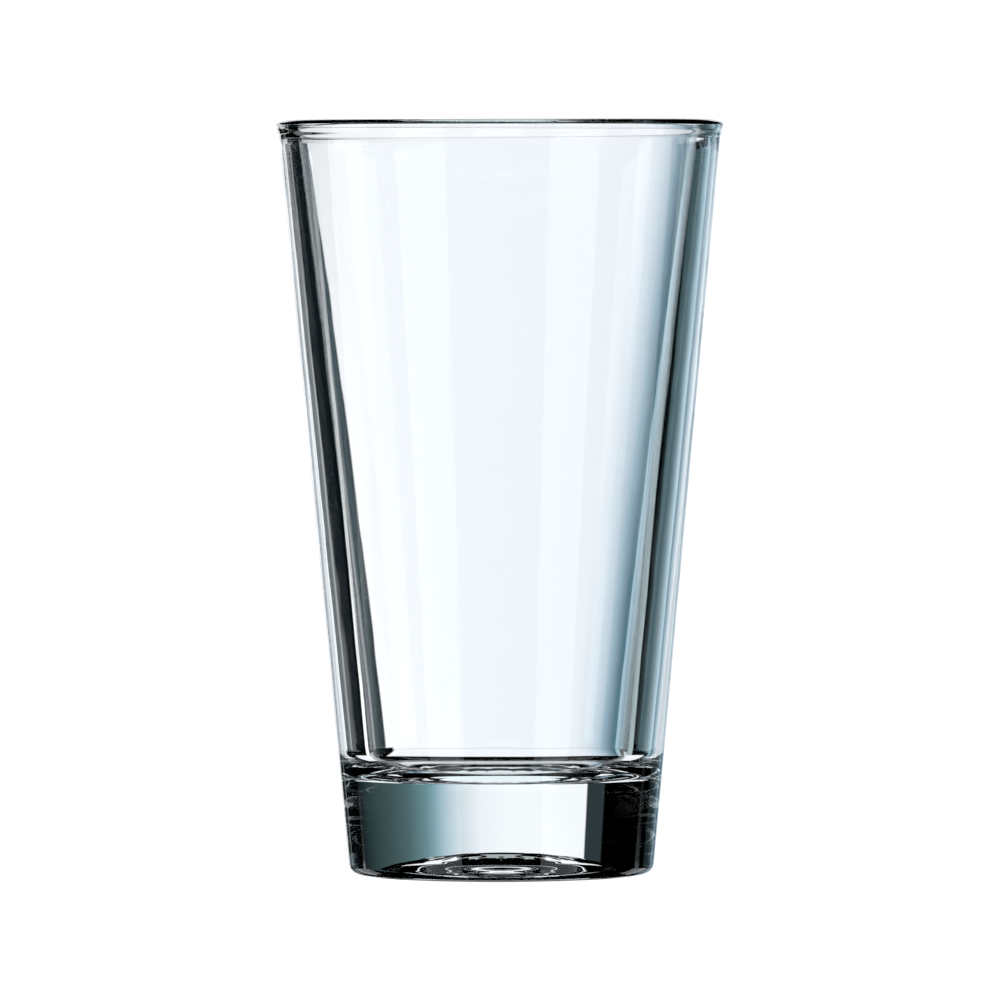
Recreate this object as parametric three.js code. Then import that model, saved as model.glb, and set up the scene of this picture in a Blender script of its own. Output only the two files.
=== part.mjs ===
// A conical pint glass: one pressed tumbler of clear soda-lime glass.
//
// The whole object is a single solid of revolution about +Z. Its origin is the centre of
// the circle that the foot stands on, so the lip is at z = HEIGHT. Lengths are millimetres.

import * as THREE from 'three';

// Outside
const HEIGHT = 150.1;            // from the foot's plane to the top of the lip
const RIM_RADIUS = 44.45;        // widest point, on the outer round of the lip
const CONE_FOOT_RADIUS = 30.22;  // outer cone, carried down to the foot's plane
const OUTER_TAPER = 5.32;        // degrees between the outer cone and the axis
const HEEL_RADIUS = 2.2;         // round between the outer cone and the foot

// Lip and the low bead under it
const LIP_THICKNESS = 4.3;      // across the lip, from its outer round to its inner round
const LIP_ROUND = 0.65;          // round along each edge of the lip
const LIP_SLOPE = 22;            // degrees the crown has fallen by where it meets the outer round
const BEAD_BOTTOM = 146.2;       // height of the bead's lower edge
const BEAD_EDGE = 2.4;           // height over which the wall swells out to the bead's face

// Inside
const INNER_TAPER = 6.5;         // degrees between the inner cone and the axis
const INNER_BOW = 0.3;           // how far the inner wall bows in from that cone at mid height
const BASE_THICKNESS = 19.3;     // from the foot's plane to the inner floor
const CORNER_RADIUS = 6;         // round between the inner floor and the inner cone

// Underside
const PUNT_RADIUS = 20.3;        // mouth of the domed hollow in the foot
const PUNT_DEPTH = 5.8;          // height of its crown above the foot's plane

// Fineness of the mesh
const SEGMENTS = 96;             // flats round the axis
const LIP_ROUND_STEPS = 5;
const LIP_CROWN_STEPS = 5;
const BEAD_STEPS = 6;
const HEEL_STEPS = 5;
const BOW_STEPS = 8;
const CORNER_STEPS = 7;
const PUNT_STEPS = 9;

const degrees = THREE.MathUtils.degToRad;

// Points of an arc in the profile plane, where x is the radius and y is the height.
function arc(centreX, centreY, radius, fromDegrees, toDegrees, steps) {
  const points = [];
  for (let i = 0; i <= steps; i += 1) {
    const angle = degrees(fromDegrees + (toDegrees - fromDegrees) * (i / steps));
    const x = centreX + radius * Math.cos(angle);
    const y = centreY + radius * Math.sin(angle);
    points.push(new THREE.Vector2(x, y));
  }
  return points;
}

// The round that joins a level floor to a cone that opens upwards, from the floor outwards.
// coneRadius is the cone's radius where it would meet the floor.
function floorToCone(coneRadius, floorHeight, taper, radius, steps) {
  const inset = radius / Math.cos(degrees(taper)) - radius * Math.tan(degrees(taper));
  return arc(coneRadius - inset, floorHeight + radius, radius, -90, -taper, steps);
}

// The hollow under the foot: a spherical cap, from its crown down to its mouth.
function puntArc() {
  const sphereRadius = (PUNT_RADIUS ** 2 + PUNT_DEPTH ** 2) / (2 * PUNT_DEPTH);
  const mouthAngle = THREE.MathUtils.radToDeg(Math.asin(PUNT_RADIUS / sphereRadius));
  const points = arc(0, PUNT_DEPTH - sphereRadius, sphereRadius, 90, 90 - mouthAngle, PUNT_STEPS);
  points[0].set(0, PUNT_DEPTH);
  points[PUNT_STEPS].set(PUNT_RADIUS, 0);
  return points;
}

// The lip: a small round on each edge, joined by a low crown whose top is at the inner round.
// It runs from the tangent of the outer cone to the tangent of the inner cone.
function lipArc() {
  const crownTop = RIM_RADIUS - LIP_THICKNESS + LIP_ROUND;
  const crownRadius = LIP_ROUND + (LIP_THICKNESS - 2 * LIP_ROUND) / Math.sin(degrees(LIP_SLOPE));
  const crownY = HEIGHT - crownRadius;
  const outerY = crownY + (crownRadius - LIP_ROUND) * Math.cos(degrees(LIP_SLOPE));
  const outerX = RIM_RADIUS - LIP_ROUND;
  const innerY = HEIGHT - LIP_ROUND;
  const outer = arc(outerX, outerY, LIP_ROUND, -OUTER_TAPER, 90 - LIP_SLOPE, LIP_ROUND_STEPS);
  const crown = arc(crownTop, crownY, crownRadius, 90 - LIP_SLOPE, 90, LIP_CROWN_STEPS);
  const inner = arc(crownTop, innerY, LIP_ROUND, 90, 180 - INNER_TAPER, LIP_ROUND_STEPS);
  return [...outer, ...crown.slice(1), ...inner.slice(1)];
}

// Radius of the outer cone at a height.
function outerCone(height) {
  return CONE_FOOT_RADIUS + height * Math.tan(degrees(OUTER_TAPER));
}

// The bead's lower edge: a soft swelling out of the outer cone to a face parallel to it that
// runs up to the start of the lip.
function beadEdge(lipStart) {
  const proud = lipStart.x - outerCone(lipStart.y);
  const points = [];
  for (let i = 0; i <= BEAD_STEPS; i += 1) {
    const share = i / BEAD_STEPS;
    const height = BEAD_BOTTOM + BEAD_EDGE * share;
    const swelling = proud * (1 - Math.cos(Math.PI * share)) / 2;
    points.push(new THREE.Vector2(outerCone(height) + swelling, height));
  }
  return points;
}

// The inner wall from the lip down to the corner, without its ends: a cone, bowed in a little.
function innerWall(top, bottom) {
  const points = [];
  for (let i = 1; i < BOW_STEPS; i += 1) {
    const share = i / BOW_STEPS;
    const point = top.clone().lerp(bottom, share);
    point.x -= INNER_BOW * 4 * share * (1 - share);
    points.push(point);
  }
  return points;
}

// The closed section of the glass, from the punt's crown, out over the foot, up the wall,
// over the lip and down the inside to the middle of the floor.
function glassProfile() {
  const lip = lipArc();
  const lipStart = lip[0];
  const lipEnd = lip[lip.length - 1];
  const innerFloorRadius = lipEnd.x - (lipEnd.y - BASE_THICKNESS) * Math.tan(degrees(INNER_TAPER));
  const corner = floorToCone(innerFloorRadius, BASE_THICKNESS, INNER_TAPER, CORNER_RADIUS, CORNER_STEPS);
  return [
    ...puntArc(),
    ...floorToCone(CONE_FOOT_RADIUS, 0, OUTER_TAPER, HEEL_RADIUS, HEEL_STEPS),
    ...beadEdge(lipStart),
    ...lip,
    ...innerWall(lipEnd, corner[CORNER_STEPS]),
    ...corner.reverse(),
    new THREE.Vector2(0, BASE_THICKNESS),
  ];
}

function makeTumbler() {
  const geometry = new THREE.LatheGeometry(glassProfile(), SEGMENTS);
  geometry.rotateX(Math.PI / 2);
  const clearGlass = new THREE.MeshStandardMaterial({
    color: 0xe3f0f0,
    roughness: 0.03,
    metalness: 0,
    transparent: true,
    opacity: 0.35,
  });
  const tumbler = new THREE.Mesh(geometry, clearGlass);
  tumbler.name = 'tumbler';
  return tumbler;
}

const pintGlass = new THREE.Group();
pintGlass.add(makeTumbler());

export default pintGlass;
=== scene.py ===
import math

import bpy
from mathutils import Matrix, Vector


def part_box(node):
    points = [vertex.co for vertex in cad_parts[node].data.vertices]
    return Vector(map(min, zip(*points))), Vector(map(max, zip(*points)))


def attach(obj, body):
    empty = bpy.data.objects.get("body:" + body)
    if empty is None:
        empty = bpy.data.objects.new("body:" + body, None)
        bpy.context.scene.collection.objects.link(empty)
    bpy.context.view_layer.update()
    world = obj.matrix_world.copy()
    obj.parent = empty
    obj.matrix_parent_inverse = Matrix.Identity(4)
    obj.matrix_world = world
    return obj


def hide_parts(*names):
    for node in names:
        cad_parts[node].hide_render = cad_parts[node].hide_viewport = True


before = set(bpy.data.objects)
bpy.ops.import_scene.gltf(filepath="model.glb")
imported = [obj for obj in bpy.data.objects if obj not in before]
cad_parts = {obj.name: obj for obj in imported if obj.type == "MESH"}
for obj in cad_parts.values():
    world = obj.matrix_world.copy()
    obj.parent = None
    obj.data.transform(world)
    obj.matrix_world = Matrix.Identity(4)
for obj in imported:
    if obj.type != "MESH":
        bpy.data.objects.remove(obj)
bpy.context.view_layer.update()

MM = 0.001

# ---------------------------------------------------------------- dimensions of the glass
# The lengths here are millimetres. The height and the rim come from the CAD solid's box.
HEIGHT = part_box("tumbler")[1].z / MM
RIM_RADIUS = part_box("tumbler")[1].x / MM
CONE_FOOT_RADIUS = 30.22
OUTER_TAPER = math.radians(5.32)
HEEL_RADIUS = 2.2
LIP_THICKNESS = 4.3
LIP_ROUND = 0.65
LIP_SLOPE = math.radians(22)
BEAD_BOTTOM = 146.2
BEAD_EDGE = 2.4
INNER_TAPER = math.radians(6.5)
INNER_BOW = 0.3
BASE_THICKNESS = 19.3
CORNER_RADIUS = 6.0
PUNT_RADIUS = 20.3
PUNT_DEPTH = 5.8
PLUNGER_OFFSET = 0.3    # the inner surface is pressed a little to one side of the outer one
PLUNGER_BLEND = 4.0     # depth under the lip at which it is fully to one side
STUD_RING = 9.5         # radius of the ring of small studs in the punt
STUD_WIDTH = 2.0
STUD_COUNT = 20
STUD_HEIGHT = 0.12
GROOVES = (5.0, 14.0, 17.5)     # radii of the shallow grooves in the punt
GROOVE_WIDTH = 1.8
GROOVE_DEPTH = 0.06

SEGMENTS = 256          # facets round the axis
ROW_SPACING = 1.5       # largest step between rings of vertices along the section
RELIEF_SPACING = 0.4    # the same in the punt, whose relief is finer
ARC_STEP = math.radians(5)
FEWEST_ARC_STEPS = 3
BEAD_STEPS = 12
ON_AXIS = 1e-6          # a ring with a smaller radius than this is a single vertex


# ---------------------------------------------------------------- section of the glass
def arc(centre, radius, start, end, spacing=ROW_SPACING):
    """Points of an arc in the section plane (radius, height), with its ends."""
    turn = abs(end - start)
    steps = max(FEWEST_ARC_STEPS, math.ceil(turn / ARC_STEP), math.ceil(turn * radius / spacing))
    angles = [start + (end - start) * i / steps for i in range(steps + 1)]
    return [(centre[0] + radius * math.cos(a), centre[1] + radius * math.sin(a)) for a in angles]


def floor_to_cone(cone_radius, height, taper, radius):
    """The round between a level floor and a cone that opens upwards, from the floor outwards."""
    inset = radius / math.cos(taper) - radius * math.tan(taper)
    return arc((cone_radius - inset, height + radius), radius, -math.pi / 2, -taper)


def punt_section():
    """The domed hollow under the foot, from its crown to its mouth."""
    sphere = (PUNT_RADIUS ** 2 + PUNT_DEPTH ** 2) / (2 * PUNT_DEPTH)
    mouth = math.pi / 2 - math.asin(PUNT_RADIUS / sphere)
    return arc((0, PUNT_DEPTH - sphere), sphere, math.pi / 2, mouth, RELIEF_SPACING)


def lip_section():
    """A small round on each edge of the lip, joined by a low crown that peaks at the inner one."""
    peak = RIM_RADIUS - LIP_THICKNESS + LIP_ROUND
    crown = LIP_ROUND + (LIP_THICKNESS - 2 * LIP_ROUND) / math.sin(LIP_SLOPE)
    crown_centre = HEIGHT - crown
    outer_centre = crown_centre + (crown - LIP_ROUND) * math.cos(LIP_SLOPE)
    top = math.pi / 2
    outer = arc((RIM_RADIUS - LIP_ROUND, outer_centre), LIP_ROUND, -OUTER_TAPER, top - LIP_SLOPE)
    middle = arc((peak, crown_centre), crown, top - LIP_SLOPE, top)
    inner = arc((peak, HEIGHT - LIP_ROUND), LIP_ROUND, top, math.pi - INNER_TAPER)
    return outer + middle[1:] + inner[1:]


def outer_cone(height):
    """Radius of the outer cone at a height."""
    return CONE_FOOT_RADIUS + height * math.tan(OUTER_TAPER)


def bead_section(lip_start):
    """The soft swelling from the outer cone to the bead's face, which is parallel to the cone."""
    proud = lip_start[0] - outer_cone(lip_start[1])
    points = []
    for i in range(BEAD_STEPS + 1):
        share = i / BEAD_STEPS
        height = BEAD_BOTTOM + BEAD_EDGE * share
        swelling = proud * (1 - math.cos(math.pi * share)) / 2
        points.append((outer_cone(height) + swelling, height))
    return points


def fill_in(points):
    """The same section with rings added wherever two neighbours are far apart."""
    filled = [points[0]]
    for start, end in zip(points, points[1:]):
        length = math.dist(start, end)
        steps = max(1, math.ceil(length / ROW_SPACING))
        for i in range(1, steps + 1):
            t = i / steps
            filled.append((start[0] + (end[0] - start[0]) * t, start[1] + (end[1] - start[1]) * t))
    return filled


def inner_wall(top, bottom):
    """The inner wall from the lip down to the corner, without its ends: a cone, bowed in a little."""
    points = []
    steps = math.ceil((top[1] - bottom[1]) / ROW_SPACING)
    for i in range(1, steps):
        share = i / steps
        radius = top[0] + (bottom[0] - top[0]) * share - INNER_BOW * 4 * share * (1 - share)
        points.append((radius, top[1] + (bottom[1] - top[1]) * share))
    return points


def glass_section():
    """The section in three parts: the punt, then out, up and over the lip, then down inside."""
    lip = lip_section()
    inner_floor = lip[-1][0] - (lip[-1][1] - BASE_THICKNESS) * math.tan(INNER_TAPER)
    corner = floor_to_cone(inner_floor, BASE_THICKNESS, INNER_TAPER, CORNER_RADIUS)
    wall = inner_wall(lip[-1], corner[-1])
    heel = floor_to_cone(CONE_FOOT_RADIUS, 0, OUTER_TAPER, HEEL_RADIUS)
    punt = punt_section()
    outside = fill_in(punt[-1:] + heel + bead_section(lip[0]) + lip)
    inside = fill_in(lip[-1:] + wall + corner[::-1] + [(0, BASE_THICKNESS)])
    return punt, outside[1:], inside[1:]


# ---------------------------------------------------------------- mesh of the glass
def plunger_shift(height):
    """How far the inner surface sits to one side of the outer one, growing from none at the lip."""
    depth = HEIGHT - LIP_ROUND - height
    return PLUNGER_OFFSET * min(1, max(0, depth) / PLUNGER_BLEND)


def bump(value, centre, half_width):
    """A smooth bump, 1 at its centre and 0 beyond its half width."""
    share = min(1, abs(value - centre) / half_width)
    return (1 + math.cos(math.pi * share)) / 2


def punt_relief(radius, turn):
    """How much deeper the punt is than its plain dome: shallow grooves and a ring of studs."""
    studs = bump(radius, STUD_RING, STUD_WIDTH) * max(0, math.cos(STUD_COUNT * turn))
    grooves = sum(bump(radius, groove, GROOVE_WIDTH) for groove in GROOVES)
    return STUD_HEIGHT * studs + GROOVE_DEPTH * grooves


def ring(radius, height, shift, relief=None):
    """One ring of vertices about the axis, or a single vertex if it has no radius."""
    count = SEGMENTS if radius > ON_AXIS else 1
    vertices = []
    for i in range(count):
        turn = 2 * math.pi * i / SEGMENTS
        lift = relief(radius, turn) if relief else 0
        x = radius * math.cos(turn) - shift
        vertices.append((x * MM, radius * math.sin(turn) * MM, (height + lift) * MM))
    return vertices


def lathe(name, punt, outside, inside):
    """A closed, smooth mesh made by turning a section about Z. Its two ends lie on the axis."""
    rows = [ring(radius, height, 0, punt_relief) for radius, height in punt]
    rows += [ring(radius, height, 0) for radius, height in outside]
    rows += [ring(radius, height, plunger_shift(height)) for radius, height in inside]
    vertices = []
    rings = []
    for row in rows:
        rings.append(range(len(vertices), len(vertices) + len(row)))
        vertices += row
    faces = []
    for lower, upper in zip(rings, rings[1:]):
        for i in range(SEGMENTS):
            j = (i + 1) % SEGMENTS
            if len(lower) == 1:
                faces.append((lower[0], upper[j], upper[i]))
            elif len(upper) == 1:
                faces.append((lower[i], lower[j], upper[0]))
            else:
                faces.append((lower[i], lower[j], upper[j], upper[i]))
    mesh = bpy.data.meshes.new(name)
    mesh.from_pydata(vertices, [], faces)
    mesh.polygons.foreach_set("use_smooth", [True] * len(mesh.polygons))
    mesh.update()
    piece = bpy.data.objects.new(name, mesh)
    bpy.context.scene.collection.objects.link(piece)
    return piece


# ---------------------------------------------------------------- material
GLASS_IOR = 1.52
GLASS_TINT = (0.80, 0.95, 0.95, 1)
TINT_DENSITY = 3.0
HANDLED_ROUGHNESS = 0.012   # where the glass is most worn by handling
HANDLING_SCALE = 45         # lumps in a metre
HANDLING_DETAIL = 3
WAVE_SCALE = 70
WAVE_DETAIL = 1
WAVE_STRENGTH = 0.3
WAVE_HEIGHT = 0.0001        # metres


def noise(tree, coordinates, scale, detail):
    """Soft 3-D noise, from 0 to 1, with a given number of lumps in a metre."""
    texture = tree.nodes.new("ShaderNodeTexNoise")
    texture.inputs["Scale"].default_value = scale
    texture.inputs["Detail"].default_value = detail
    tree.links.new(coordinates, texture.inputs["Vector"])
    return texture.outputs["Fac"]


def spread(tree, value, low, high):
    """The value, stretched from 0..1 to low..high."""
    stretch = tree.nodes.new("ShaderNodeMapRange")
    stretch.inputs["To Min"].default_value = low
    stretch.inputs["To Max"].default_value = high
    tree.links.new(value, stretch.inputs["Value"])
    return stretch.outputs["Result"]


def clear_glass():
    """Fire-polished pressed glass: nearly smooth, a little wavy, blue-green where it is thick."""
    material = bpy.data.materials.new("clear_glass")
    material.use_nodes = True
    tree = material.node_tree
    shader = tree.nodes["Principled BSDF"]
    shader.inputs["Base Color"].default_value = (1, 1, 1, 1)
    shader.inputs["Transmission Weight"].default_value = 1
    shader.inputs["IOR"].default_value = GLASS_IOR
    place = tree.nodes.new("ShaderNodeTexCoord").outputs["Object"]
    handling_marks = noise(tree, place, HANDLING_SCALE, HANDLING_DETAIL)
    tree.links.new(spread(tree, handling_marks, 0.0, HANDLED_ROUGHNESS), shader.inputs["Roughness"])
    waviness = tree.nodes.new("ShaderNodeBump")
    waviness.inputs["Strength"].default_value = WAVE_STRENGTH
    waviness.inputs["Distance"].default_value = WAVE_HEIGHT
    tree.links.new(noise(tree, place, WAVE_SCALE, WAVE_DETAIL), waviness.inputs["Height"])
    tree.links.new(waviness.outputs["Normal"], shader.inputs["Normal"])
    absorption = tree.nodes.new("ShaderNodeVolumeAbsorption")
    absorption.inputs["Color"].default_value = GLASS_TINT
    absorption.inputs["Density"].default_value = TINT_DENSITY
    tree.links.new(absorption.outputs["Volume"], tree.nodes["Material Output"].inputs["Volume"])
    return material


# ---------------------------------------------------------------- camera
# The lens and its sensor are millimetres. The other lengths from here on are metres.
SENSOR_WIDTH = 36
LENS = 434.65
NEAREST_SEEN = 0.1
FARTHEST_SEEN = 20
CAMERA_DISTANCE = 2.4
CAMERA_SIDE_SHIFT = 0.00008
EYE_HEIGHT = 0.1515
TARGET_HEIGHT = 0.07434
CAMERA_ROLL = math.radians(0.135)


def add_camera():
    """A long lens in front of the glass, a little above the rim and looking slightly down."""
    camera = bpy.data.cameras.new("camera")
    holder = bpy.data.objects.new("camera", camera)
    bpy.context.scene.collection.objects.link(holder)
    camera.sensor_width = SENSOR_WIDTH
    camera.lens = LENS
    camera.clip_start = NEAREST_SEEN
    camera.clip_end = FARTHEST_SEEN
    holder.location = (CAMERA_SIDE_SHIFT, -CAMERA_DISTANCE, EYE_HEIGHT)
    pitch = math.atan2(EYE_HEIGHT - TARGET_HEIGHT, CAMERA_DISTANCE)
    holder.rotation_euler = (math.pi / 2 - pitch, CAMERA_ROLL, 0)
    bpy.context.scene.camera = holder


# ---------------------------------------------------------------- surroundings
WHITE = (1.08, 1.12, 1.17)
BLACK = (0.0, 0.0, 0.0)
ROOM_WHITE = (1.1, 1.1, 1.1)    # what the camera itself sees round the glass
BACKDROP_REACH = 60     # degrees to either side of straight behind that the two strips cover

# What stands behind the glass, by azimuth from straight behind it (degrees, plus to the right).
# LOW_STRIP is what the wall shows, and LEVEL_STRIP what the solid base shows.
LOW_STRIP = [
    (-50, BLACK), (-44, (0.006, 0.011, 0.014)), (-28.5, (0.006, 0.011, 0.014)),
    (-27.9, (0.40, 0.43, 0.42)), (-26.2, (0.34, 0.37, 0.36)), (-24.4, (0.08, 0.09, 0.09)),
    (-22, (0.025, 0.035, 0.035)), (-16.7, (0.03, 0.045, 0.05)), (-16.2, (1.36, 1.40, 1.44)),
    (-12, (1.22, 1.26, 1.30)), (-9, (1.14, 1.18, 1.22)), (0, (1.05, 1.10, 1.16)),
    (7, (1.02, 1.07, 1.13)), (10, (0.78, 0.90, 0.99)), (12.3, (0.58, 0.73, 0.84)),
    (14.2, (0.37, 0.55, 0.66)), (16, (0.27, 0.40, 0.51)), (18.3, (0.12, 0.25, 0.32)),
    (20.2, (0.13, 0.28, 0.35)), (20.6, (0.54, 0.77, 0.90)), (24, (0.40, 0.60, 0.71)),
    (27, (0.25, 0.39, 0.45)), (30, (0.13, 0.22, 0.26)), (36, (0.065, 0.115, 0.13)),
    (43, (0.055, 0.105, 0.115)), (44.5, (0.004, 0.009, 0.009)), (48, BLACK),
]
LEVEL_STRIP = [
    (-29.8, BLACK), (-29.5, (0.03, 0.045, 0.05)), (-23.3, (0.03, 0.045, 0.05)),
    (-23.0, (1.03, 1.05, 1.07)), (-2, (1.02, 1.05, 1.07)), (5, (0.95, 0.98, 1.04)),
    (9.8, (0.72, 0.81, 0.86)), (14.7, (0.41, 0.57, 0.66)), (17.3, (0.24, 0.41, 0.47)),
    (20, (0.15, 0.285, 0.31)), (26.4, (0.083, 0.148, 0.16)), (34, (0.054, 0.093, 0.10)),
    (45, (0.028, 0.055, 0.055)), (53, (0.012, 0.02, 0.025)), (55, BLACK),
]
STRIP_BOTTOM = -9.3     # degrees of elevation
STRIP_TOP = 9.5
STRIP_CHANGE = 0.0      # the low strip is under this elevation and the level strip above it
STRIP_BLEND = 1.0       # degrees to either side in which one becomes the other
PANEL_TOP = 5
SIDE_SOFTNESS = 0.5     # degrees to either side of an edge in which a patch fades
END_SOFTNESS = 0.7      # the same for top and bottom edges, those of the strips too

# Patches of direction that are not as the strips have them: azimuths, elevations.
COLUMN = ((-12.3, 24), (-24, STRIP_BOTTOM))         # the low strip reaches further down here
LEFT_SHADE = ((-60, -13), (-13, -6.1))              # dark, with its top edge on a slant
LEFT_SHADE_SLANT = 0.07
PANELS = [
    ((-54.5, -50.3), (-13, -8.5), (1.30, 1.35, 1.33)),
    ((51.3, 58), (-13, -8.5), (0.45, 0.55, 0.56)),
]
# The same on both sides, so the azimuths have no sign: sides, front, low diagonals, and above them
# a lamp on each side with a dimmer one between.
PAIRED_PANELS = [
    ((77.5, 102.5), (STRIP_BOTTOM, PANEL_TOP), WHITE),
    ((166, 190), (STRIP_BOTTOM, PANEL_TOP), WHITE),
    ((30, 60), (-34, -13.2), WHITE),
    ((120, 150), (-34, -13.2), WHITE),
    ((10, 32), (37, 50), WHITE),
    ((-1, 10), (37, 50), (0.45, 0.48, 0.50)),
]


def backdrop_ramp(tree, azimuth, stops):
    """The colour of one strip of the backdrop at each azimuth."""
    ramp = tree.nodes.new("ShaderNodeValToRGB")
    elements = ramp.color_ramp.elements
    while len(elements) > 1:
        elements.remove(elements[0])
    for i, (angle, colour) in enumerate(stops):
        element = elements[0] if i == 0 else elements.new(1)    # new ones start at the right end
        element.position = (angle + BACKDROP_REACH) / (2 * BACKDROP_REACH)
        element.color = (*colour, 1)
    along = tree.nodes.new("ShaderNodeMapRange")
    along.inputs["From Min"].default_value = -BACKDROP_REACH
    along.inputs["From Max"].default_value = BACKDROP_REACH
    tree.links.new(azimuth, along.inputs["Value"])
    tree.links.new(along.outputs["Result"], ramp.inputs["Fac"])
    return ramp.outputs["Color"]


def maths(tree, operation, *terms):
    """One Math node. A term is a number or a socket."""
    node = tree.nodes.new("ShaderNodeMath")
    node.operation = operation
    for socket, term in zip(node.inputs, terms):
        if isinstance(term, (int, float)):
            socket.default_value = term
        else:
            tree.links.new(term, socket)
    return node.outputs[0]


def soft_step(tree, value, edge, softness):
    """0 below the edge and 1 above it, with a smooth change between."""
    step = tree.nodes.new("ShaderNodeMapRange")
    step.interpolation_type = "SMOOTHSTEP"
    step.inputs["From Min"].default_value = edge - softness
    step.inputs["From Max"].default_value = edge + softness
    tree.links.new(value, step.inputs["Value"])
    return step.outputs["Result"]


def between(tree, value, limits, softness):
    """1 between the two limits and 0 outside them."""
    rise = soft_step(tree, value, limits[0], softness)
    fall = soft_step(tree, value, limits[1], softness)
    return maths(tree, "SUBTRACT", rise, fall)


def patch(tree, azimuth, elevation, azimuths, elevations):
    """1 inside a rectangle of directions and 0 outside it."""
    across = between(tree, azimuth, azimuths, SIDE_SOFTNESS)
    up = between(tree, elevation, elevations, END_SOFTNESS)
    return maths(tree, "MULTIPLY", across, up)


def mix(tree, factor, first, second):
    """The first colour where the factor is 0 and the second where it is 1."""
    node = tree.nodes.new("ShaderNodeMix")
    node.data_type = "RGBA"
    node.clamp_result = False
    tree.links.new(factor, node.inputs["Factor"])
    # Several sockets share a name here, so the colour ones are taken by number.
    for socket, colour in ((node.inputs[6], first), (node.inputs[7], second)):
        if isinstance(colour, tuple):
            socket.default_value = (*colour, 1)
        else:
            tree.links.new(colour, socket)
    return node.outputs[2]


def degrees_of(tree, function, *sockets):
    """The angle that an inverse function gives, in degrees."""
    return maths(tree, "MULTIPLY", maths(tree, function, *sockets), math.degrees(1))


def add_surroundings():
    """A white room to the camera. The glass sees a dark one with a lit backdrop and panels."""
    world = bpy.data.worlds.new("studio")
    bpy.context.scene.world = world
    world.use_nodes = True
    tree = world.node_tree
    tree.nodes.clear()
    direction = tree.nodes.new("ShaderNodeTexCoord")
    parts = tree.nodes.new("ShaderNodeSeparateXYZ")
    tree.links.new(direction.outputs["Generated"], parts.inputs[0])
    azimuth = degrees_of(tree, "ARCTAN2", parts.outputs["X"], parts.outputs["Y"])
    elevation = degrees_of(tree, "ARCSINE", parts.outputs["Z"])
    low = backdrop_ramp(tree, azimuth, LOW_STRIP)
    level = backdrop_ramp(tree, azimuth, LEVEL_STRIP)
    backdrop = mix(tree, soft_step(tree, elevation, STRIP_CHANGE, STRIP_BLEND), low, level)
    in_strips = between(tree, elevation, (STRIP_BOTTOM, STRIP_TOP), END_SOFTNESS)
    colour = mix(tree, in_strips, BLACK, backdrop)
    colour = mix(tree, patch(tree, azimuth, elevation, *COLUMN), colour, backdrop)
    slant = maths(tree, "MULTIPLY", azimuth, LEFT_SHADE_SLANT)
    slanted = maths(tree, "SUBTRACT", elevation, slant)
    colour = mix(tree, patch(tree, azimuth, slanted, *LEFT_SHADE), colour, BLACK)
    unsigned_azimuth = maths(tree, "ABSOLUTE", azimuth)
    for across, panels in ((azimuth, PANELS), (unsigned_azimuth, PAIRED_PANELS)):
        for azimuths, elevations, light in panels:
            colour = mix(tree, patch(tree, across, elevation, azimuths, elevations), colour, light)
    seen = tree.nodes.new("ShaderNodeLightPath")
    colour = mix(tree, seen.outputs["Is Camera Ray"], colour, ROOM_WHITE)
    background = tree.nodes.new("ShaderNodeBackground")
    output = tree.nodes.new("ShaderNodeOutputWorld")
    tree.links.new(colour, background.inputs["Color"])
    tree.links.new(background.outputs[0], output.inputs["Surface"])


DISC_SEGMENTS = 64
FLOOR_RADIUS = 0.35
FLOOR_HEIGHT = -0.0001
FOOT_LIGHT_RADIUS = 0.026
FOOT_LIGHT_HEIGHT = -0.018
FOOT_LIGHT_COLOUR = (0.90, 1.0, 1.05)


def glow_disc(name, radius, height, colour, for_camera):
    """A level disc that gives light to the camera's own rays, or to all the others."""
    turns = [2 * math.pi * i / DISC_SEGMENTS for i in range(DISC_SEGMENTS)]
    mesh = bpy.data.meshes.new(name)
    rim = [(radius * math.cos(turn), radius * math.sin(turn), height) for turn in turns]
    mesh.from_pydata(rim, [], [tuple(range(DISC_SEGMENTS))])
    disc = bpy.data.objects.new(name, mesh)
    bpy.context.scene.collection.objects.link(disc)
    material = bpy.data.materials.new(name)
    material.use_nodes = True
    tree = material.node_tree
    tree.nodes.clear()
    glow = tree.nodes.new("ShaderNodeEmission")
    glow.inputs["Color"].default_value = (*colour, 1)
    clear = tree.nodes.new("ShaderNodeBsdfTransparent")
    seen = tree.nodes.new("ShaderNodeLightPath")
    both = tree.nodes.new("ShaderNodeMixShader")
    tree.links.new(seen.outputs["Is Camera Ray"], both.inputs[0])
    to_others, to_camera = (clear, glow) if for_camera else (glow, clear)
    tree.links.new(to_others.outputs[0], both.inputs[1])
    tree.links.new(to_camera.outputs[0], both.inputs[2])
    output = tree.nodes.new("ShaderNodeOutputMaterial")
    tree.links.new(both.outputs[0], output.inputs["Surface"])
    mesh.materials.append(material)


# ---------------------------------------------------------------- rendering
BOUNCES = 20


def set_rendering():
    """Plain colours, and enough bounces for light to cross the glass many times."""
    scene = bpy.context.scene
    scene.view_settings.view_transform = "Standard"
    scene.cycles.max_bounces = BOUNCES
    scene.cycles.transmission_bounces = BOUNCES
    scene.cycles.glossy_bounces = BOUNCES
    scene.cycles.sample_clamp_indirect = 0
    scene.cycles.blur_glossy = 0
    scene.cycles.use_denoising = True


# ---------------------------------------------------------------- the scene
add_camera()
add_surroundings()
glow_disc("floor", FLOOR_RADIUS, FLOOR_HEIGHT, ROOM_WHITE, for_camera=True)
glow_disc("light_under_foot", FOOT_LIGHT_RADIUS, FOOT_LIGHT_HEIGHT, FOOT_LIGHT_COLOUR, for_camera=False)
set_rendering()

glass = lathe("glass_body", *glass_section())
glass.data.materials.append(clear_glass())
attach(glass, "root")
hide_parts("tumbler")
